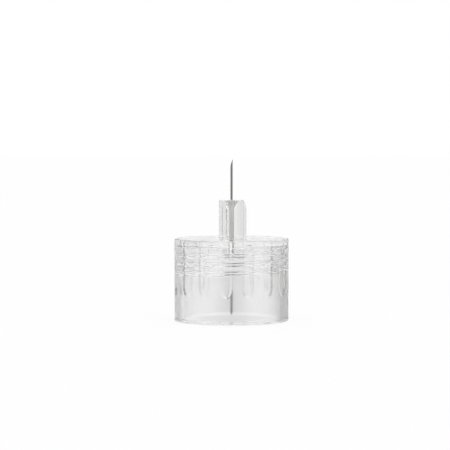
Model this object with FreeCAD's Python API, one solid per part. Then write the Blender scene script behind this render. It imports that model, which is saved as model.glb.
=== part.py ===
import FreeCAD, Part
import math
import os
from FreeCAD import Placement, Rotation, Vector

os.makedirs("parts", exist_ok=True)

# An insulin pen needle, in millimetres: a clear moulded hub, a steel cannula that is sharpened at
# both ends, and the cured adhesive that holds the cannula in the hub.
# The skirt's rim stands on z = 0, the needle points along +Z and the front faces -Y.

# Skirt: the cup that screws onto the pen
skirt_outer_radius = 5.6
skirt_wall = 0.85
skirt_height = 8.05
plate_thickness = 0.65
skirt_edge_chamfer = 0.1
rim_chamfer = 0.08
rim_lead_in = 0.3
bore_corner_chamfer = 0.2

# Thread inside the skirt, one start, right-handed
thread_pitch = 0.83
thread_turns = 3.25
thread_depth = 0.3
thread_crest_width = 0.14
thread_flank_angle = 30.0
thread_gap_below_plate = 0.4

# Flutes outside the skirt, for the fingers, open at the top and pointed at the lower end
flute_count = 16
flute_width = 1.2
flute_depth = 0.15
flute_wall_width = 0.16
flute_end_height = 2.45
flute_end_length = 1.1
flute_first_angle = 16.5

# Tower that carries the cannula, with three ribs for the inner shield
tower_radius = 1.235
tower_height = 3.75
tower_edge_round = 0.08
tower_foot_round = 0.12
rib_count = 3
rib_width = 0.45
rib_projection = 0.225
rib_slope_height = 0.65
rib_drop = 0.1

# Cone under the plate that lengthens the cannula's seat
cone_foot_radius = 1.7
cone_tip_radius = 0.6
cone_height = 1.1

# Cannula, 32 gauge tube
cannula_outer_radius = 0.115
cannula_bore_radius = 0.065
needle_length = 4.0
rear_point_height = 0.5
front_grind_length = 0.95
rear_grind_length = 0.8
lancet_turn = 35.0
lancet_steepness = 1.5
front_point_angle = 30.0
rear_point_angle = 90.0

# Adhesive around the cannula, and the funnel in the tower's top that takes it
bond_gap = 0.06
funnel_mouth_radius = 0.5
funnel_depth = 0.7
adhesive_fill_drop = 0.1
adhesive_climb = 0.12

# Sizes that follow from the ones above
bore_radius = skirt_outer_radius - skirt_wall
plate_underside = skirt_height - plate_thickness
thread_crest_radius = bore_radius - thread_depth
tower_top = skirt_height + tower_height
rib_outer_radius = tower_radius + rib_projection
cone_tip_height = plate_underside - cone_height
seat_radius = cannula_outer_radius + bond_gap
funnel_bottom = tower_top - funnel_depth
needle_tip = tower_top + needle_length

# How far a tool body runs past the surface that it cuts, or into the wall that it joins
overrun = 0.1

# How near an edge must be to count as the one looked for
same_place = 0.0001


def revolved(section):
    """Turn a closed outline, given as radius and height, about the Z axis."""
    corners = [Vector(radius, 0, height) for radius, height in section]
    outline = Part.makePolygon(corners + [corners[0]])
    return Part.Face(outline).revolve(Vector(0, 0, 0), Vector(0, 0, 1), 360)


def circles_at(shape, radius, height):
    """Find the round edges about the Z axis with this radius and height."""
    found = []
    for edge in shape.Edges:
        curve = edge.Curve
        if not isinstance(curve, Part.Circle):
            continue
        off_radius = abs(curve.Radius - radius)
        off_height = abs(curve.Center.z - height)
        if off_radius < same_place and off_height < same_place:
            found.append(edge)
    return found


def hub_body():
    """Skirt, plate, tower and cone as one turned form with a hole on its axis."""
    body = revolved([
        (bore_radius + rim_lead_in, 0),
        (skirt_outer_radius - rim_chamfer, 0),
        (skirt_outer_radius, rim_chamfer),
        (skirt_outer_radius, skirt_height - skirt_edge_chamfer),
        (skirt_outer_radius - skirt_edge_chamfer, skirt_height),
        (tower_radius, skirt_height),
        (tower_radius, tower_top),
        (funnel_mouth_radius, tower_top),
        (seat_radius, funnel_bottom),
        (seat_radius, cone_tip_height),
        (cone_tip_radius, cone_tip_height),
        (cone_foot_radius, plate_underside),
        (bore_radius - bore_corner_chamfer, plate_underside),
        (bore_radius, plate_underside - bore_corner_chamfer),
        (bore_radius, rim_lead_in),
    ])
    body = body.makeFillet(tower_edge_round, circles_at(body, tower_radius, tower_top))
    return body.makeFillet(tower_foot_round, circles_at(body, tower_radius, skirt_height))


def tower_rib():
    """One upright rib on the +X side of the tower, sloped at its top."""
    inside = tower_radius - overrun
    slope_top = tower_top - rib_drop
    outline = Part.makePolygon([
        Vector(inside, -rib_width / 2, skirt_height - overrun),
        Vector(rib_outer_radius, -rib_width / 2, skirt_height - overrun),
        Vector(rib_outer_radius, -rib_width / 2, slope_top - rib_slope_height),
        Vector(tower_radius, -rib_width / 2, slope_top),
        Vector(inside, -rib_width / 2, slope_top),
        Vector(inside, -rib_width / 2, skirt_height - overrun),
    ])
    return Part.Face(outline).extrude(Vector(0, rib_width, 0))


def flute_outline(half_width, end_length, y):
    """Outline of a flute on an upright plane: straight sides above half an ellipse."""
    top = skirt_height + overrun
    middle = Vector(0, y, flute_end_height + flute_end_length)
    lowest = middle - Vector(0, 0, end_length)
    ellipse = Part.Ellipse(lowest, middle + Vector(half_width, 0, 0), middle)
    lower_end = Part.ArcOfEllipse(ellipse, -math.pi / 2, math.pi / 2).toShape()
    sides = Part.makePolygon([
        Vector(half_width, y, middle.z),
        Vector(half_width, y, top),
        Vector(-half_width, y, top),
        Vector(-half_width, y, middle.z),
    ])
    return Part.Wire([lower_end] + sides.Edges)


def flute_cutter():
    """One flute on the front: a body that narrows from outside the skirt to the flute's flat floor."""
    half_width = flute_width / 2
    mouth_y = -math.sqrt(skirt_outer_radius**2 - half_width**2)
    floor_y = flute_depth - skirt_outer_radius
    wall_slope = flute_wall_width / (floor_y - mouth_y)
    outlines = []
    for y in (mouth_y - overrun, floor_y):
        share = 1 + (mouth_y - y) * wall_slope / half_width
        outlines.append(flute_outline(half_width * share, flute_end_length * share, y))
    return Part.makeLoft(outlines, True, True)


def ring_of(shape, count, first_angle):
    """Repeat a shape evenly about the Z axis."""
    copies = []
    for index in range(count):
        copy = shape.copy()
        angle = first_angle + index * 360 / count
        copy.rotate(Vector(0, 0, 0), Vector(0, 0, 1), angle)
        copies.append(copy)
    return copies


def thread_ridge():
    """The thread as one helical ridge, rooted in the skirt's wall."""
    top = plate_underside - thread_gap_below_plate
    bottom = top - thread_turns * thread_pitch
    slope = math.tan(math.radians(thread_flank_angle))
    crest_half = thread_crest_width / 2
    root_half = crest_half + (thread_depth + overrun) * slope
    root_radius = bore_radius + overrun
    helix = Part.makeHelix(thread_pitch, top - bottom, bore_radius)
    helix.translate(Vector(0, 0, bottom))
    outline = Part.makePolygon([
        Vector(thread_crest_radius, 0, bottom - crest_half),
        Vector(root_radius, 0, bottom - root_half),
        Vector(root_radius, 0, bottom + root_half),
        Vector(thread_crest_radius, 0, bottom + crest_half),
        Vector(thread_crest_radius, 0, bottom - crest_half),
    ])
    return Part.Wire(helix.Edges).makePipeShell([outline], True, True)


def needle_hub():
    """The clear hub, moulded in one piece."""
    hub = hub_body()
    hub = hub.fuse(ring_of(tower_rib(), rib_count, 0))
    hub = hub.fuse(thread_ridge())
    hub = hub.cut(ring_of(flute_cutter(), flute_count, flute_first_angle))
    return hub.removeSplitter()


def grind(tube, point, facing, angle, upward):
    """Grind a flat through the point: the flat faces the given way and leans off the axis by angle."""
    lean = math.radians(angle)
    normal = Vector(math.cos(lean) * facing.x, math.cos(lean) * facing.y, upward * math.sin(lean))
    width = tube.BoundBox.ZLength
    stone = Part.makeBox(width, width, width, Vector(-width / 2, -width / 2, 0))
    stone.Placement = Placement(point, Rotation(Vector(0, 0, 1), normal))
    return tube.cut(stone)


def sharpened(tube, height, point_angle, grind_length, upward):
    """Give one end of the tube a main grind and two lancet grinds that meet at its point."""
    angle = math.radians(point_angle)
    outward = Vector(math.cos(angle), math.sin(angle), 0)
    point = outward * cannula_outer_radius + Vector(0, 0, height)
    main_angle = math.degrees(math.atan(2 * cannula_outer_radius / grind_length))
    tube = grind(tube, point, -outward, main_angle, upward)
    for turn in (-lancet_turn, lancet_turn):
        facing = Rotation(Vector(0, 0, 1), turn).multVec(-outward)
        tube = grind(tube, point, facing, main_angle * lancet_steepness, upward)
    return tube


def cannula():
    """The steel tube, with its front point above the tower and its rear point in the skirt."""
    foot = Vector(0, 0, rear_point_height)
    length = needle_tip - rear_point_height
    tube = Part.makeCylinder(cannula_outer_radius, length, foot)
    tube = tube.cut(Part.makeCylinder(cannula_bore_radius, length, foot))
    tube = sharpened(tube, needle_tip, front_point_angle, front_grind_length, 1)
    return sharpened(tube, rear_point_height, rear_point_angle, rear_grind_length, -1)


def bonding_adhesive():
    """The cured adhesive: a thin sleeve in the seat, and the filled funnel with its sunken top."""
    fill_height = tower_top - adhesive_fill_drop
    funnel_share = (fill_height - funnel_bottom) / funnel_depth
    fill_radius = seat_radius + (funnel_mouth_radius - seat_radius) * funnel_share
    climb_height = fill_height + adhesive_climb
    edge = Vector(fill_radius, 0, fill_height)
    at_tube = Vector(cannula_outer_radius, 0, climb_height)
    dip_radius = (fill_radius + cannula_outer_radius) / 2
    dip = Vector(dip_radius, 0, fill_height)
    sides = Part.makePolygon([
        at_tube,
        Vector(cannula_outer_radius, 0, cone_tip_height),
        Vector(seat_radius, 0, cone_tip_height),
        Vector(seat_radius, 0, funnel_bottom),
        edge,
    ])
    top = Part.Arc(edge, dip, at_tube).toShape()
    outline = Part.Wire(sides.Edges + [top])
    return Part.Face(outline).revolve(Vector(0, 0, 0), Vector(0, 0, 1), 360)


nodes = {
    "needle_hub": needle_hub(),
    "cannula": cannula(),
    "bonding_adhesive": bonding_adhesive(),
}

for name, shape in nodes.items():
    shape.exportStep("parts/" + name + ".step")
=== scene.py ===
import math

import bmesh
import bpy
from mathutils import Matrix, Vector


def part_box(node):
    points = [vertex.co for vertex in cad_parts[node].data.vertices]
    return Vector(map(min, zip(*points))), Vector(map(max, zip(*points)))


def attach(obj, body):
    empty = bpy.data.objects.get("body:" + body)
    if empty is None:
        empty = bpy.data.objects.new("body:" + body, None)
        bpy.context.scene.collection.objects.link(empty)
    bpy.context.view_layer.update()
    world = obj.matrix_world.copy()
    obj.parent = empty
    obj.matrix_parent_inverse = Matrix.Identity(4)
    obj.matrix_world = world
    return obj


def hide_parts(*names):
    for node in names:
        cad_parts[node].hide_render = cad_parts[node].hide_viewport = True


bl_info = {
    "name": "Insulin pen needle",
    "version": (1, 0, 0),
    "blender": (4, 5, 0),
    "location": "View3D > Sidebar > Pen needle",
    "description": "Clear screw-on hub, steel cannula and cured adhesive of an insulin pen needle",
    "category": "Object",
}

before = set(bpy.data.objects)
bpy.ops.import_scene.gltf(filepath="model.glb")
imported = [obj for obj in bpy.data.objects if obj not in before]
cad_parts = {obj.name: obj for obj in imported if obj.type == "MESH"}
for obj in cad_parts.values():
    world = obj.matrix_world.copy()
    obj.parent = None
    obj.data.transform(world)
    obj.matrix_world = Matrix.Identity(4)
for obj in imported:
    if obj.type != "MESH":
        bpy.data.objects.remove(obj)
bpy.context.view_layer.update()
hub_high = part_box("needle_hub")[1]
cannula_low, cannula_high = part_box("cannula")
adhesive_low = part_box("bonding_adhesive")[0]

MM = 0.001
UP = Vector((0, 0, 1))

# Seat of the cannula, and the funnel above it that takes the adhesive
SEAT_RADIUS = 0.175 * MM
FUNNEL_RADIUS = 0.5 * MM
FUNNEL_DEPTH = 0.7 * MM
FILL_DROP = 0.1 * MM
# From the plate's underside down to the top of the thread
THREAD_GAP = 0.4 * MM
# Slope that leads an inner shield onto the tower's ribs
RIB_DROP = 0.1 * MM
RIB_SLOPE = 0.65 * MM
# Extra loops stand this near a sharp edge and keep its shading clean
HOLD = 0.015 * MM
# Two places nearer than this are the same
SAME_PLACE = 0.001 * MM


# Small helpers

def linear_colour(text):
    """Turn an sRGB colour such as #DDE2E4 into the linear one that a shader takes."""
    shares = [int(text[i:i + 2], 16) / 255 for i in (1, 3, 5)]
    linear = [s / 12.92 if s <= 0.04045 else ((s + 0.055) / 1.055) ** 2.4 for s in shares]
    return (*linear, 1.0)


def eased(share):
    """Go smoothly from 0 to 1 as the share does."""
    share = min(max(share, 0.0), 1.0)
    return share * share * (3 - 2 * share)


def steps_between(start, end, count):
    """Heights or radii from start to end in equal steps, without the first."""
    return [start + (end - start) * (i + 1) / count for i in range(count)]


def arc_points(centre, radius, first, last, count):
    """Points on an arc of an outline, angles in degrees, without the first."""
    angles = [math.radians(a) for a in steps_between(first, last, count)]
    return [(centre[0] + radius * math.cos(a), centre[1] + radius * math.sin(a)) for a in angles]


def polar(vert):
    """Radius and angle of a vertex about the Z axis, the angle from 0 to a full turn."""
    angle = math.atan2(vert.co.y, vert.co.x) % (2 * math.pi)
    return math.hypot(vert.co.x, vert.co.y), angle


def place_polar(vert, radius, angle):
    """Put a vertex at a radius and angle about the Z axis, at the height that it has."""
    vert.co.x = radius * math.cos(angle)
    vert.co.y = radius * math.sin(angle)


def spin_outline(bm, outline, steps):
    """Spin an open outline of radius and height about the Z axis and return its vertices."""
    before = set(bm.verts)
    verts = [bm.verts.new((radius, 0, height)) for radius, height in outline]
    edges = [bm.edges.new(pair) for pair in zip(verts, verts[1:])]
    bmesh.ops.spin(
        bm,
        geom=verts + edges,
        cent=(0, 0, 0),
        axis=UP,
        angle=2 * math.pi,
        steps=steps,
        use_merge=True,
    )
    return [v for v in bm.verts if v not in before]


def finished_piece(bm, name, node, materials, sharp_angle):
    """Make the object of a piece that stands for a node of the frame."""
    bmesh.ops.recalc_face_normals(bm, faces=bm.faces)
    if bm.calc_volume(signed=True) < 0:
        bmesh.ops.reverse_faces(bm, faces=bm.faces)
    mesh = bpy.data.meshes.new(name)
    bm.to_mesh(mesh)
    bm.free()
    mesh.shade_smooth()
    mesh.set_sharp_from_angle(angle=math.radians(sharp_angle))
    for material in materials:
        mesh.materials.append(material)
    piece = bpy.data.objects.new(name, mesh)
    bpy.context.scene.collection.objects.link(piece)
    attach(piece, "root")
    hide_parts(node)
    return piece


# Materials

def add_node(tree, kind, settings=None, inputs=None):
    """Add a node with its settings, and give its inputs a value or a link."""
    node = tree.nodes.new(kind)
    for name, value in (settings or {}).items():
        setattr(node, name, value)
    for name, value in (inputs or {}).items():
        if isinstance(value, bpy.types.NodeSocket):
            tree.links.new(value, node.inputs[name])
        else:
            node.inputs[name].default_value = value
    return node


def new_material(name):
    """A material with an empty node tree and its output."""
    material = bpy.data.materials.new(name)
    material.use_nodes = True
    tree = material.node_tree
    tree.nodes.clear()
    return material, tree, add_node(tree, "ShaderNodeOutputMaterial")


def clear_polypropylene(settings):
    """Polypropylene, injection moulded in a polished tool: clear, glossy, with a faint milky haze."""
    material, tree, output = new_material("clear_polypropylene_moulded")
    place = add_node(tree, "ShaderNodeTexCoord").outputs["Object"]
    # Flow haze changes over about 3 mm, drawn out along the skirt as the melt ran
    flow = add_node(tree, "ShaderNodeMapping", inputs={
        "Vector": place,
        "Scale": (1 / (3 * MM), 1 / (3 * MM), 1 / (9 * MM)),
    })
    haze = add_node(tree, "ShaderNodeTexNoise", inputs={
        "Vector": flow.outputs["Vector"],
        "Scale": 1.0,
        "Detail": 3.0,
    })
    roughness = add_node(tree, "ShaderNodeMapRange", inputs={
        "Value": haze.outputs["Fac"],
        "From Min": 0.3,
        "From Max": 0.7,
        "To Min": settings.roughness * 0.6,
        "To Max": settings.roughness * 1.4,
    })
    # Fine draw marks of the tool, 0.12 mm apart round the wall and long up it
    marks_place = add_node(tree, "ShaderNodeMapping", inputs={
        "Vector": place,
        "Scale": (1 / (0.12 * MM), 1 / (0.12 * MM), 1 / (4 * MM)),
    })
    marks = add_node(tree, "ShaderNodeTexNoise", inputs={
        "Vector": marks_place.outputs["Vector"],
        "Scale": 1.0,
        "Detail": 2.0,
    })
    bump = add_node(tree, "ShaderNodeBump", inputs={
        "Height": marks.outputs["Fac"],
        "Strength": 0.08,
        "Distance": 0.002 * MM,
    })
    plastic = add_node(tree, "ShaderNodeBsdfPrincipled", inputs={
        "Base Color": linear_colour(settings.tint),
        "Roughness": roughness.outputs["Result"],
        "IOR": 1.49,
        "Transmission Weight": settings.clearness,
        "Normal": bump.outputs["Normal"],
    })
    tree.links.new(plastic.outputs["BSDF"], output.inputs["Surface"])
    return material


def drawn_steel(settings):
    """Stainless steel tube, cold drawn and electropolished: bright, with faint lines along it."""
    material, tree, output = new_material("stainless_steel_drawn")
    place = add_node(tree, "ShaderNodeTexCoord").outputs["Object"]
    # Draw lines 0.02 mm apart round the tube and over 1 mm long
    stretch = add_node(tree, "ShaderNodeMapping", inputs={
        "Vector": place,
        "Scale": (1 / (0.02 * MM), 1 / (0.02 * MM), 1 / (1.2 * MM)),
    })
    lines = add_node(tree, "ShaderNodeTexNoise", inputs={
        "Vector": stretch.outputs["Vector"],
        "Scale": 1.0,
        "Detail": 3.0,
    })
    roughness = add_node(tree, "ShaderNodeMapRange", inputs={
        "Value": lines.outputs["Fac"],
        "From Min": 0.3,
        "From Max": 0.7,
        "To Min": 0.16,
        "To Max": 0.3,
    })
    bump = add_node(tree, "ShaderNodeBump", inputs={
        "Height": lines.outputs["Fac"],
        "Strength": 0.2,
        "Distance": 0.001 * MM,
    })
    steel = add_node(tree, "ShaderNodeBsdfPrincipled", inputs={
        "Base Color": linear_colour(settings.steel_colour),
        "Metallic": 1.0,
        "Roughness": roughness.outputs["Result"],
        "Normal": bump.outputs["Normal"],
    })
    tree.links.new(steel.outputs["BSDF"], output.inputs["Surface"])
    return material


def ground_steel(settings):
    """The same steel where the points are ground: flatter and greyer, with fine cross lines."""
    material, tree, output = new_material("stainless_steel_ground")
    place = add_node(tree, "ShaderNodeTexCoord").outputs["Object"]
    # Grit lines 0.012 mm apart across the bevel
    stretch = add_node(tree, "ShaderNodeMapping", inputs={
        "Vector": place,
        "Scale": (1 / (0.2 * MM), 1 / (0.2 * MM), 1 / (0.012 * MM)),
    })
    lines = add_node(tree, "ShaderNodeTexNoise", inputs={
        "Vector": stretch.outputs["Vector"],
        "Scale": 1.0,
        "Detail": 2.0,
    })
    roughness = add_node(tree, "ShaderNodeMapRange", inputs={
        "Value": lines.outputs["Fac"],
        "From Min": 0.3,
        "From Max": 0.7,
        "To Min": 0.22,
        "To Max": 0.38,
    })
    steel = add_node(tree, "ShaderNodeBsdfPrincipled", inputs={
        "Base Color": linear_colour(settings.ground_colour),
        "Metallic": 1.0,
        "Roughness": roughness.outputs["Result"],
    })
    tree.links.new(steel.outputs["BSDF"], output.inputs["Surface"])
    return material


def cured_adhesive(settings):
    """Acrylate adhesive, cured by light: milky inside the clear hub, with a soft gloss."""
    material, tree, output = new_material("acrylate_adhesive_cured")
    place = add_node(tree, "ShaderNodeTexCoord").outputs["Object"]
    # Its skin ripples about every 0.25 mm
    ripple = add_node(tree, "ShaderNodeTexNoise", inputs={
        "Vector": place,
        "Scale": 1 / (0.25 * MM),
        "Detail": 2.0,
    })
    roughness = add_node(tree, "ShaderNodeMapRange", inputs={
        "Value": ripple.outputs["Fac"],
        "From Min": 0.3,
        "From Max": 0.7,
        "To Min": 0.05,
        "To Max": 0.12,
    })
    glue = add_node(tree, "ShaderNodeBsdfPrincipled", inputs={
        "Base Color": linear_colour(settings.tint),
        "Roughness": roughness.outputs["Result"],
        "IOR": 1.48,
        "Transmission Weight": 0.05,
    })
    tree.links.new(glue.outputs["BSDF"], output.inputs["Surface"])
    return material


# Sizes and colours

class HubSettings(bpy.types.PropertyGroup):
    """Sizes and finish of the clear hub."""

    skirt_height: bpy.props.FloatProperty(
        name="Skirt height", description="From the rim to the top of the plate",
        default=8.05 * MM, unit="LENGTH", precision=5)
    skirt_wall: bpy.props.FloatProperty(
        name="Skirt wall", description="Wall thickness of the skirt",
        default=0.85 * MM, unit="LENGTH", precision=5)
    plate_thickness: bpy.props.FloatProperty(
        name="Plate thickness", description="Thickness of the plate that closes the skirt",
        default=0.65 * MM, unit="LENGTH", precision=5)
    edge_round: bpy.props.FloatProperty(
        name="Edge round", description="Radius of the skirt's top edge",
        default=0.1 * MM, unit="LENGTH", precision=5)
    lead_in: bpy.props.FloatProperty(
        name="Lead-in", description="Slope at the mouth of the bore",
        default=0.3 * MM, unit="LENGTH", precision=5)
    flute_count: bpy.props.IntProperty(
        name="Flutes", description="How many flutes stand round the skirt", default=16)
    flute_width: bpy.props.FloatProperty(
        name="Flute width", description="Width of a flute at the skirt's surface",
        default=1.2 * MM, unit="LENGTH", precision=5)
    flute_depth: bpy.props.FloatProperty(
        name="Flute depth", description="How deep a flute is cut",
        default=0.11 * MM, unit="LENGTH", precision=5)
    flute_end: bpy.props.FloatProperty(
        name="Flute end", description="Height of a flute's rounded lower end above the rim",
        default=2.45 * MM, unit="LENGTH", precision=5)
    flute_wall: bpy.props.FloatProperty(
        name="Flute wall", description="Share of a flute's half width that its sloped wall takes",
        default=0.42, subtype="FACTOR")
    flute_runout: bpy.props.FloatProperty(
        name="Flute run-out", description="Length over which a flute gets shallow at its lower end",
        default=1.1 * MM, unit="LENGTH", precision=5)
    flute_phase: bpy.props.FloatProperty(
        name="Flute phase", description="Angle of the first flute about the axis",
        default=math.radians(16.5), subtype="ANGLE")
    thread_pitch: bpy.props.FloatProperty(
        name="Thread pitch", description="Rise of the thread in one turn",
        default=0.83 * MM, unit="LENGTH", precision=5)
    thread_turns: bpy.props.FloatProperty(
        name="Thread turns", description="Number of turns of the thread", default=3.25)
    thread_depth: bpy.props.FloatProperty(
        name="Thread depth", description="How far the thread stands out of the bore",
        default=0.3 * MM, unit="LENGTH", precision=5)
    tower_radius: bpy.props.FloatProperty(
        name="Tower radius", description="Radius of the tower between its ribs",
        default=1.235 * MM, unit="LENGTH", precision=5)
    rib_radius: bpy.props.FloatProperty(
        name="Rib radius", description="Radius of the ribs' outer faces",
        default=1.46 * MM, unit="LENGTH", precision=5)
    rib_width: bpy.props.FloatProperty(
        name="Rib width", description="Width of one rib",
        default=0.45 * MM, unit="LENGTH", precision=5)
    tint: bpy.props.StringProperty(
        name="Tint", description="Colour of the clear plastic, as sRGB hex", default="#FEFEFE")
    clearness: bpy.props.FloatProperty(
        name="Clearness", description="Share of the light that goes through and isn't scattered",
        default=0.965, subtype="FACTOR")
    roughness: bpy.props.FloatProperty(
        name="Roughness", description="Mean roughness of the moulded surface",
        default=0.11, subtype="FACTOR")


class CannulaSettings(bpy.types.PropertyGroup):
    """Sizes and finish of the steel tube and its adhesive."""

    outer_radius: bpy.props.FloatProperty(
        name="Outer radius", description="Outer radius of the tube",
        default=0.115 * MM, unit="LENGTH", precision=6)
    lumen_radius: bpy.props.FloatProperty(
        name="Lumen radius", description="Radius of the hole through the tube",
        default=0.065 * MM, unit="LENGTH", precision=6)
    front_grind: bpy.props.FloatProperty(
        name="Front grind", description="Length of the front point's main bevel",
        default=0.95 * MM, unit="LENGTH", precision=5)
    rear_grind: bpy.props.FloatProperty(
        name="Rear grind", description="Length of the rear point's main bevel",
        default=0.8 * MM, unit="LENGTH", precision=5)
    steel_colour: bpy.props.StringProperty(
        name="Steel", description="Colour of the drawn steel, as sRGB hex", default="#989896")
    ground_colour: bpy.props.StringProperty(
        name="Ground steel", description="Colour of the ground bevels, as sRGB hex", default="#8C8C88")
    tint: bpy.props.StringProperty(
        name="Adhesive", description="Colour of the cured adhesive, as sRGB hex", default="#FFFFFD")


class StageSettings(bpy.types.PropertyGroup):
    """Camera, floor and light of the picture."""

    camera_distance: bpy.props.FloatProperty(
        name="Camera distance", description="From the camera to the needle's axis",
        default=172 * MM, unit="LENGTH")
    camera_height: bpy.props.FloatProperty(
        name="Camera height", description="Height of the camera above the rim",
        default=17.4 * MM, unit="LENGTH")
    camera_side: bpy.props.FloatProperty(
        name="Camera side", description="How far the camera stands to the left of the axis",
        default=0.64 * MM, unit="LENGTH")
    camera_tilt: bpy.props.FloatProperty(
        name="Camera tilt", description="How far the camera looks down",
        default=math.radians(2.68), subtype="ANGLE")
    lens: bpy.props.FloatProperty(
        name="Lens", description="Focal length on a 36 mm sensor, in millimetres", default=140.3)
    backdrop: bpy.props.FloatProperty(
        name="Backdrop", description="Strength of the backdrop, where 1 is white", default=1.0)
    floor_glow: bpy.props.FloatProperty(
        name="Floor glow", description="Share of the floor that shows plain white", default=0.92,
        subtype="FACTOR")
    floor_clear: bpy.props.FloatProperty(
        name="Floor clear", description="Share of the floor that gloss and glass rays see as backdrop",
        default=0.87, subtype="FACTOR")
    ambient: bpy.props.FloatProperty(
        name="Ambient", description="Strength of the light from all round", default=0.95)
    overhead: bpy.props.FloatProperty(
        name="Overhead", description="Strength of the sweep over and under the needle", default=0.93)
    softbox_power: bpy.props.FloatProperty(
        name="Softbox power", description="Power of each side light, in watts", default=0.05)


# Hub

def flute_columns(angle, count):
    """Draw the columns of one flute's share of the skirt together at the flute's two walls."""
    pitch = 2 * math.pi / count
    middle = round(angle / pitch)
    share = (angle - middle * pitch) / pitch
    side = math.copysign(1.0, share)
    share = abs(share)
    # Where a column stands in the even spin and where it is drawn to: over the floor, wall and land
    places = ((0, 0), (4 / 30, 0.15), (11 / 30, 0.28), (0.5, 0.5))
    for (start, first), (end, last) in zip(places, places[1:]):
        if share <= end:
            break
    moved = first + (share - start) / (end - start) * (last - first)
    return (middle + side * moved) * pitch


def flute_cut(sizes, skirt_radius, angle, height):
    """How deep the flutes are at this place: a slot with sloped walls, pointed at its lower end."""
    pitch = 2 * math.pi / sizes.flute_count
    across = (angle - sizes.flute_phase) / pitch
    across = abs(across - round(across)) * pitch * skirt_radius
    below = max(sizes.flute_end + sizes.flute_runout - height, 0.0)
    reach = math.hypot(across / (sizes.flute_width / 2), below / sizes.flute_runout)
    return sizes.flute_depth * eased((1 - reach) / sizes.flute_wall)


def thread_rise(sizes, angle, height):
    """How far the thread stands out of the bore at this place."""
    top = sizes.skirt_height - sizes.plate_thickness - THREAD_GAP
    bottom = top - sizes.thread_turns * sizes.thread_pitch
    turn = angle / (2 * math.pi)
    turn += round((height - bottom) / sizes.thread_pitch - turn)
    # The ends fade out over this share of a turn
    fade = 0.06
    ends = eased(turn / fade) * eased((sizes.thread_turns - turn) / fade)
    off = abs(height - bottom - turn * sizes.thread_pitch)
    # Half widths of the ridge at its crest and at its root
    crest = 0.07 * MM
    root = 0.245 * MM
    return sizes.thread_depth * ends * eased((root - off) / (root - crest))


def rib_columns(angle, half_in, half_out):
    """Draw the columns near a rib to its two edges, and say whether this one is on the rib."""
    sector = 2 * math.pi / 3
    columns = 160
    edge = 12
    middle = round(angle / sector)
    column = (angle - middle * sector) / (sector / columns)
    side = math.copysign(1.0, column)
    column = abs(column)
    on_rib = column < edge + 0.5
    if on_rib:
        moved = column / edge * half_in
    else:
        outside = (column - edge - 1) / (columns / 2 - edge - 1)
        moved = half_out + outside * (sector / 2 - half_out)
    return middle * sector + side * moved, on_rib


def skirt_outline(sizes, skirt_radius):
    """Outline of the skirt from the plate's top, round the rim, to the plate's underside."""
    top = sizes.skirt_height
    under = top - sizes.plate_thickness
    edge = sizes.edge_round
    bore = skirt_radius - sizes.skirt_wall
    rim_edge = 0.08 * MM
    corner = 0.2 * MM
    flute_top = sizes.flute_end + sizes.flute_runout
    flute_foot = sizes.flute_end - 0.1 * MM
    thread_room = 0.3 * MM
    thread_foot = under - THREAD_GAP - sizes.thread_turns * sizes.thread_pitch - thread_room
    plate_ring = 3 * MM
    outline = [(plate_ring, top), (skirt_radius - edge - HOLD, top), (skirt_radius - edge, top)]
    outline += arc_points((skirt_radius - edge, top - edge), edge, 90, 0, 5)
    outline += [(skirt_radius, top - edge - HOLD)]
    outline += [(skirt_radius, z) for z in steps_between(top - edge - HOLD, flute_top, 4)]
    outline += [(skirt_radius, z) for z in steps_between(flute_top, flute_foot, 26)]
    outline += [(skirt_radius, z) for z in steps_between(flute_foot, rim_edge + HOLD, 3)]
    outline += [(skirt_radius, rim_edge)]
    outline += arc_points((skirt_radius - rim_edge, rim_edge), rim_edge, 0, -90, 4)
    outline += [(skirt_radius - rim_edge - HOLD, 0)]
    outline += [(bore + sizes.lead_in, 0), (bore, sizes.lead_in)]
    outline += [(bore, z) for z in steps_between(sizes.lead_in, thread_foot, 4)]
    outline += [(bore, z) for z in steps_between(thread_foot, under - corner - HOLD, 64)]
    outline += [(bore, under - corner)]
    outline += arc_points((bore - corner, under - corner), corner, 0, 90, 5)
    outline += [(bore - corner - HOLD, under), (plate_ring, under)]
    return outline


def tower_outline(sizes):
    """Outline of the cone under the plate, the seat and funnel, and the tower down to the plate."""
    plate = sizes.skirt_height
    under = plate - sizes.plate_thickness
    top = hub_high.z
    foot = 0.12 * MM
    edge = 0.08 * MM
    radius = sizes.tower_radius
    slope_top = top - RIB_DROP
    slope_foot = slope_top - RIB_SLOPE
    cone_tip = under - 1.1 * MM
    cone_foot_radius = 1.7 * MM
    cone_tip_radius = 0.6 * MM
    plate_ring = 2 * MM
    outline = [(cone_foot_radius, under), (cone_tip_radius, cone_tip), (SEAT_RADIUS, cone_tip)]
    outline += [(SEAT_RADIUS, z) for z in steps_between(cone_tip, top - FUNNEL_DEPTH, 6)]
    outline += [(FUNNEL_RADIUS, top), (radius - edge - HOLD, top), (radius - edge, top)]
    outline += arc_points((radius - edge, top - edge), edge, 90, 0, 5)
    outline += [(radius, slope_top)]
    outline += [(radius, z) for z in steps_between(slope_top, slope_foot, 6)]
    outline += [(radius, z) for z in steps_between(slope_foot, plate + foot + HOLD, 6)]
    outline += [(radius, plate + foot)]
    outline += arc_points((radius + foot, plate + foot), foot, 180, 270, 5)
    outline += [(radius + foot + HOLD, plate), (plate_ring, plate)]
    return outline


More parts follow.
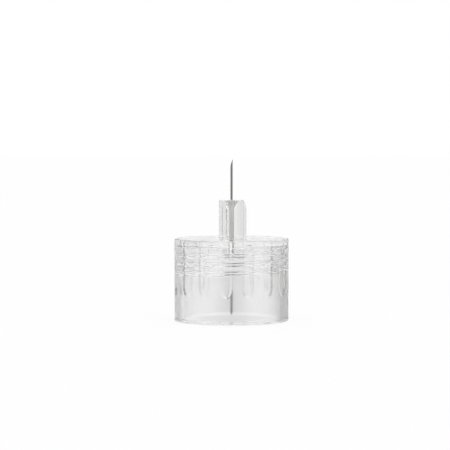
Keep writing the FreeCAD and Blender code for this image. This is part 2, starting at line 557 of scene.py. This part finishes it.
def shape_skirt(sizes, vert, skirt_radius):
    """Cut the flutes and raise the thread at one vertex of the skirt."""
    radius, angle = polar(vert)
    height = vert.co.z
    bore = skirt_radius - sizes.skirt_wall
    angle = flute_columns(angle, sizes.flute_count) + sizes.flute_phase
    if radius > skirt_radius - sizes.skirt_wall / 2:
        radius -= flute_cut(sizes, skirt_radius, angle, height)
    elif abs(radius - bore) < SAME_PLACE and height > sizes.lead_in:
        radius -= thread_rise(sizes, angle % (2 * math.pi), height)
    place_polar(vert, radius, angle)


def shape_tower(sizes, vert):
    """Draw the three ribs out of the tower at one of its vertices."""
    radius, angle = polar(vert)
    height = vert.co.z
    half_in = math.asin(sizes.rib_width / 2 / sizes.rib_radius)
    half_out = math.asin(sizes.rib_width / 2 / sizes.tower_radius)
    slope_top = hub_high.z - RIB_DROP
    angle, on_rib = rib_columns(angle, half_in, half_out)
    above_plate = height > sizes.skirt_height - SAME_PLACE
    if on_rib and above_plate and radius > sizes.tower_radius - SAME_PLACE:
        fall = min(max((slope_top - height) / RIB_SLOPE, 0.0), 1.0)
        radius = max(radius, sizes.tower_radius + (sizes.rib_radius - sizes.tower_radius) * fall)
    place_polar(vert, radius, angle)


class PENNEEDLE_OT_hub(bpy.types.Operator):
    """Model the clear hub: skirt with flutes and thread, plate, ribbed tower and cone"""

    bl_idname = "pen_needle.hub"
    bl_label = "Hub"

    def execute(self, context):
        sizes = context.scene.pen_needle_hub
        outline = skirt_outline(sizes, hub_high.x) + tower_outline(sizes)
        skirt_from = 3.5 * MM
        tower_within = 1.9 * MM
        bm = bmesh.new()
        verts = spin_outline(bm, outline + outline[:1], 480)
        bmesh.ops.remove_doubles(bm, verts=verts, dist=0.00001 * MM)
        for vert in bm.verts:
            radius = math.hypot(vert.co.x, vert.co.y)
            if radius > skirt_from:
                shape_skirt(sizes, vert, hub_high.x)
            elif radius < tower_within:
                shape_tower(sizes, vert)
        finished_piece(
            bm, "clear_hub", "needle_hub", [clear_polypropylene(sizes)], 32)
        return {"FINISHED"}


# Cannula

def grind_flat(bm, point, normal):
    """Cut the tube at a plane through the point and close the cut with flat ground faces."""
    bmesh.ops.bisect_plane(
        bm,
        geom=bm.verts[:] + bm.edges[:] + bm.faces[:],
        dist=0.00001 * MM,
        plane_co=point,
        plane_no=normal,
        clear_outer=True,
    )
    cut = [e for e in bm.edges if e.is_boundary
           and all(abs((v.co - point).dot(normal)) < 0.0001 * MM for v in e.verts)]
    made = bmesh.ops.triangle_fill(bm, use_beauty=True, use_dissolve=False, edges=cut, normal=normal)
    for face in made["geom"]:
        if isinstance(face, bmesh.types.BMFace):
            face.material_index = 1


def sharpen(bm, sizes, height, point_angle, grind_length, upward):
    """Give one end of the tube its main grind and its two steeper lancet grinds."""
    outward = Vector((math.cos(point_angle), math.sin(point_angle), 0))
    point = outward * sizes.outer_radius + UP * height
    main = math.atan(2 * sizes.outer_radius / grind_length)
    lancet = main * 1.5
    for turn, lean in ((0, main), (-35, lancet), (35, lancet)):
        facing = Matrix.Rotation(math.radians(turn), 3, "Z") @ -outward
        grind_flat(bm, point, facing * math.cos(lean) + UP * (upward * math.sin(lean)))


class PENNEEDLE_OT_cannula(bpy.types.Operator):
    """Model the steel tube with a lancet point at each end"""

    bl_idname = "pen_needle.cannula"
    bl_label = "Cannula"

    def execute(self, context):
        sizes = context.scene.pen_needle_cannula
        low, high = cannula_low.z, cannula_high.z
        spare = 1 * MM
        middle = Matrix.Translation(UP * (low + high) / 2)
        bm = bmesh.new()
        for radius in (sizes.outer_radius, sizes.lumen_radius):
            bmesh.ops.create_cone(
                bm,
                cap_ends=False,
                segments=96,
                radius1=radius,
                radius2=radius,
                depth=high - low + 2 * spare,
                matrix=middle,
            )
        sharpen(bm, sizes, high, math.radians(30), sizes.front_grind, 1)
        sharpen(bm, sizes, low, math.radians(90), sizes.rear_grind, -1)
        finished_piece(
            bm, "steel_cannula", "cannula",
            [drawn_steel(sizes), ground_steel(sizes)], 25)
        return {"FINISHED"}


# Adhesive

class PENNEEDLE_OT_adhesive(bpy.types.Operator):
    """Model the cured adhesive round the cannula, with its sunken top in the funnel"""

    bl_idname = "pen_needle.adhesive"
    bl_label = "Adhesive"

    def execute(self, context):
        sizes = context.scene.pen_needle_cannula
        # It wets the plastic, so it reaches a hair into it and no air shows between them
        wetting = 0.002 * MM
        inner = sizes.outer_radius
        seat = SEAT_RADIUS + wetting
        top = hub_high.z
        fill = top - FILL_DROP
        foot = adhesive_low.z + wetting
        filled = (FUNNEL_DEPTH - FILL_DROP) / FUNNEL_DEPTH
        mouth = seat + (FUNNEL_RADIUS - SEAT_RADIUS) * filled
        outline = [(inner, foot), (seat, foot), (seat, top - FUNNEL_DEPTH), (mouth, fill)]
        # Its top dips between the funnel and the steel, and climbs the steel
        dip = 0.03 * MM
        climb = 0.12 * MM
        for share in steps_between(0, 1, 10):
            height = fill + climb * share ** 3 - dip * math.sin(math.pi * share)
            outline.append((mouth - (mouth - inner) * share, height))
        outline.append((inner, foot))
        bm = bmesh.new()
        spin_outline(bm, outline, 96)
        bmesh.ops.remove_doubles(bm, verts=bm.verts, dist=0.0001 * MM)
        finished_piece(
            bm, "cured_adhesive", "bonding_adhesive", [cured_adhesive(sizes)], 40)
        return {"FINISHED"}


# Stage

def floor_material(settings):
    """Matt white sweep: nearly white, with its shadows, to the eye and to gloss and glass rays."""
    material, tree, output = new_material("white_sweep_matt")
    paths = add_node(tree, "ShaderNodeLightPath")
    matt = add_node(tree, "ShaderNodeBsdfDiffuse", inputs={"Color": linear_colour("#F7F7F7")})
    glow = add_node(tree, "ShaderNodeEmission", inputs={"Strength": 1.0})
    glow_share = add_node(tree, "ShaderNodeMath", {"operation": "MULTIPLY"}, {
        0: paths.outputs["Is Camera Ray"],
        1: settings.floor_glow,
    })
    seen = add_node(tree, "ShaderNodeMixShader", inputs={
        0: glow_share.outputs[0],
        1: matt.outputs[0],
        2: glow.outputs[0],
    })
    # Gloss and glass see mostly the backdrop's level there, with a part of the shadow
    mirrored_or_through = add_node(tree, "ShaderNodeMath", {"operation": "MAXIMUM"}, {
        0: paths.outputs["Is Transmission Ray"],
        1: paths.outputs["Is Glossy Ray"],
    })
    clear_share = add_node(tree, "ShaderNodeMath", {"operation": "MULTIPLY"}, {
        0: mirrored_or_through.outputs[0],
        1: settings.floor_clear,
    })
    clear = add_node(tree, "ShaderNodeBsdfTransparent")
    mixed = add_node(tree, "ShaderNodeMixShader", inputs={
        0: clear_share.outputs[0],
        1: seen.outputs[0],
        2: clear.outputs[0],
    })
    tree.links.new(mixed.outputs[0], output.inputs["Surface"])
    return material


def fill_ramp(ramp, stops):
    """Give a colour ramp its grey levels, from pairs of place, 0 to 1, and level."""
    elements = ramp.color_ramp.elements
    ramp.color_ramp.interpolation = "EASE"
    while len(elements) < len(stops):
        elements.new(0.5)
    for element, (place, level) in zip(elements, stops):
        element.position = place
        element.color = (level, level, level, 1)


def round_stops(pairs):
    """Turn bearings in degrees, 0 at the back and plus to the right, into places on a ramp."""
    return [((bearing + 180) / 360, level) for bearing, level in pairs]


# Levels of the studio's white and grey cards by bearing in degrees, 0 behind the needle, 180 at the
# camera and plus to the right: seen through the plastic, and mirrored in it and in the steel
THROUGH_LEVELS = ((-180, 0.93), (-110, 0.98), (-70, 0.9), (-40, 0.72), (-22, 0.77), (-10, 0.88),
                  (-4, 0.88), (-1.5, 0.8), (1.5, 0.8), (4, 0.88), (8, 0.86), (18, 0.75), (40, 0.73),
                  (70, 0.9), (110, 0.98), (180, 0.93))
MIRRORED_LEVELS = ((-180, 0.08), (-174, 0.1), (-140, 1.0), (-75, 1.0), (-60, 0.92), (-48, 0.78), (-37, 0.54),
                   (-24, 0.52), (-12, 0.7), (-4, 0.97), (6, 0.97), (12, 0.53), (24, 0.44), (48, 0.46),
                   (72, 0.48), (100, 0.97), (133, 1.0), (168, 0.1), (180, 0.08))
# Above the horizon only the room behind the camera is dark
UPPER_LEVELS = ((-180, 0.2), (-172, 0.2), (-155, 0.97), (155, 0.97), (172, 0.2), (180, 0.2))
# Shares by height of the ray's direction, 0 straight down and 1 straight up: what lies above the
# horizon, and what is the plain bright sweep far over and under the needle
UPPER_SHARES = ((0.0, 0.0), (0.485, 0.0), (0.515, 1.0), (1.0, 1.0))
SWEEP_SHARES = ((0.0, 1.0), (0.18, 1.0), (0.35, 0.0), (0.65, 0.0), (0.82, 1.0), (1.0, 1.0))


def light_world(settings):
    """White backdrop to the eye, the studio for gloss and glass, plain soft light for the rest."""
    world = bpy.data.worlds.new("white_studio")
    world.use_nodes = True
    tree = world.node_tree
    tree.nodes.clear()
    output = add_node(tree, "ShaderNodeOutputWorld")
    paths = add_node(tree, "ShaderNodeLightPath")
    direction = add_node(tree, "ShaderNodeTexCoord")
    axes = add_node(tree, "ShaderNodeSeparateXYZ", inputs={"Vector": direction.outputs["Generated"]})
    bearing = add_node(tree, "ShaderNodeMath", {"operation": "ARCTAN2"}, {
        0: axes.outputs["X"],
        1: axes.outputs["Y"],
    })
    turn = add_node(tree, "ShaderNodeMapRange", inputs={
        "Value": bearing.outputs[0],
        "From Min": -math.pi,
        "From Max": math.pi,
    })
    height = add_node(tree, "ShaderNodeMapRange", inputs={
        "Value": axes.outputs["Z"],
        "From Min": -1.0,
        "From Max": 1.0,
    })
    ramps = []
    for place, stops in (
        (turn, round_stops(THROUGH_LEVELS)),
        (turn, round_stops(MIRRORED_LEVELS)),
        (turn, round_stops(UPPER_LEVELS)),
        (height, UPPER_SHARES),
        (height, SWEEP_SHARES),
    ):
        ramp = add_node(tree, "ShaderNodeValToRGB", inputs={"Fac": place.outputs["Result"]})
        fill_ramp(ramp, stops)
        ramps.append(ramp.outputs["Color"])
    through, mirrored, upper, is_upper, is_sweep = ramps
    # A ray that was reflected anywhere on its way sees the mirrored levels, another one the others
    was_mirrored = add_node(tree, "ShaderNodeMath", {"operation": "MINIMUM"}, {
        0: paths.outputs["Glossy Depth"],
        1: 1.0,
    })
    studio = through
    for share, other in (
        (was_mirrored.outputs[0], mirrored),
        (is_upper, upper),
        (is_sweep, settings.overhead),
    ):
        blend = add_node(tree, "ShaderNodeMix", {"data_type": "FLOAT"}, {0: share, 2: studio, 3: other})
        studio = blend.outputs[0]
    mirrored_or_through = add_node(tree, "ShaderNodeMath", {"operation": "MAXIMUM"}, {
        0: paths.outputs["Is Transmission Ray"],
        1: paths.outputs["Is Glossy Ray"],
    })
    lit = add_node(tree, "ShaderNodeMix", {"data_type": "FLOAT"}, {
        0: mirrored_or_through.outputs[0],
        2: settings.ambient,
        3: studio,
    })
    seen = add_node(tree, "ShaderNodeMix", {"data_type": "FLOAT"}, {
        0: paths.outputs["Is Camera Ray"],
        2: lit.outputs[0],
        3: settings.backdrop,
    })
    white = add_node(tree, "ShaderNodeBackground", inputs={
        "Color": (1, 1, 1, 1),
        "Strength": seen.outputs[0],
    })
    tree.links.new(white.outputs[0], output.inputs["Surface"])
    bpy.context.scene.world = world


def add_softbox(name, side_angle, distance, width, height, power):
    """A rectangular soft light that faces the needle from one side of the camera."""
    light = bpy.data.lights.new(name, "AREA")
    light.shape = "RECTANGLE"
    light.size = width
    light.size_y = height
    light.energy = power
    lamp = bpy.data.objects.new(name, light)
    place = Vector((math.sin(side_angle), -math.cos(side_angle), 0)) * distance + UP * 20 * MM
    lamp.matrix_world = Matrix.Translation(place) @ place.to_track_quat("Z", "Y").to_matrix().to_4x4()
    lamp.visible_camera = False
    lamp.visible_glossy = False
    lamp.visible_transmission = False
    bpy.context.scene.collection.objects.link(lamp)


class PENNEEDLE_OT_stage(bpy.types.Operator):
    """Set the camera, the white floor, the soft lights and the background"""

    bl_idname = "pen_needle.stage"
    bl_label = "Stage"

    def execute(self, context):
        settings = context.scene.pen_needle_stage
        data = bpy.data.cameras.new("photo_camera")
        data.lens = settings.lens
        data.sensor_width = 36
        data.clip_start = 10 * MM
        data.clip_end = 10
        camera = bpy.data.objects.new("photo_camera", data)
        camera.location = (-settings.camera_side, -settings.camera_distance, settings.camera_height)
        camera.rotation_euler = (math.pi / 2 - settings.camera_tilt, 0, 0)
        context.scene.collection.objects.link(camera)
        context.scene.camera = camera

        bm = bmesh.new()
        bmesh.ops.create_circle(bm, cap_ends=True, segments=96, radius=2.0)
        mesh = bpy.data.meshes.new("floor")
        bm.to_mesh(mesh)
        bm.free()
        mesh.materials.append(floor_material(settings))
        floor = bpy.data.objects.new("floor", mesh)
        # A hair under the rim, so that the two faces don't fight
        floor.location.z = -0.01 * MM
        context.scene.collection.objects.link(floor)

        light_world(settings)
        power = settings.softbox_power
        add_softbox("softbox_left", math.radians(-67), 260 * MM, 330 * MM, 300 * MM, power)
        add_softbox("softbox_right", math.radians(61), 260 * MM, 230 * MM, 300 * MM, power)
        context.scene.view_settings.view_transform = "Standard"
        # Light runs a long way inside the clear wall before it leaves
        context.scene.cycles.max_bounces = 32
        context.scene.cycles.transmission_bounces = 32
        context.scene.cycles.glossy_bounces = 24
        context.scene.cycles.diffuse_bounces = 12
        return {"FINISHED"}


class PENNEEDLE_PT_panel(bpy.types.Panel):
    """Buttons for each part of the needle"""

    bl_label = "Pen needle"
    bl_idname = "PENNEEDLE_PT_panel"
    bl_space_type = "VIEW_3D"
    bl_region_type = "UI"
    bl_category = "Pen needle"

    def draw(self, context):
        for operator in OPERATORS:
            self.layout.operator(operator.bl_idname)


OPERATORS = (PENNEEDLE_OT_stage, PENNEEDLE_OT_hub, PENNEEDLE_OT_cannula, PENNEEDLE_OT_adhesive)
CLASSES = (HubSettings, CannulaSettings, StageSettings) + OPERATORS + (PENNEEDLE_PT_panel,)


def register():
    for cls in CLASSES:
        bpy.utils.register_class(cls)
    bpy.types.Scene.pen_needle_hub = bpy.props.PointerProperty(type=HubSettings)
    bpy.types.Scene.pen_needle_cannula = bpy.props.PointerProperty(type=CannulaSettings)
    bpy.types.Scene.pen_needle_stage = bpy.props.PointerProperty(type=StageSettings)


def unregister():
    del bpy.types.Scene.pen_needle_stage
    del bpy.types.Scene.pen_needle_cannula
    del bpy.types.Scene.pen_needle_hub
    for cls in reversed(CLASSES):
        bpy.utils.unregister_class(cls)


def main():
    register()
    bpy.ops.pen_needle.stage()
    bpy.ops.pen_needle.hub()
    bpy.ops.pen_needle.cannula()
    bpy.ops.pen_needle.adhesive()
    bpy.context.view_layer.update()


if __name__ == "__main__":
    main()
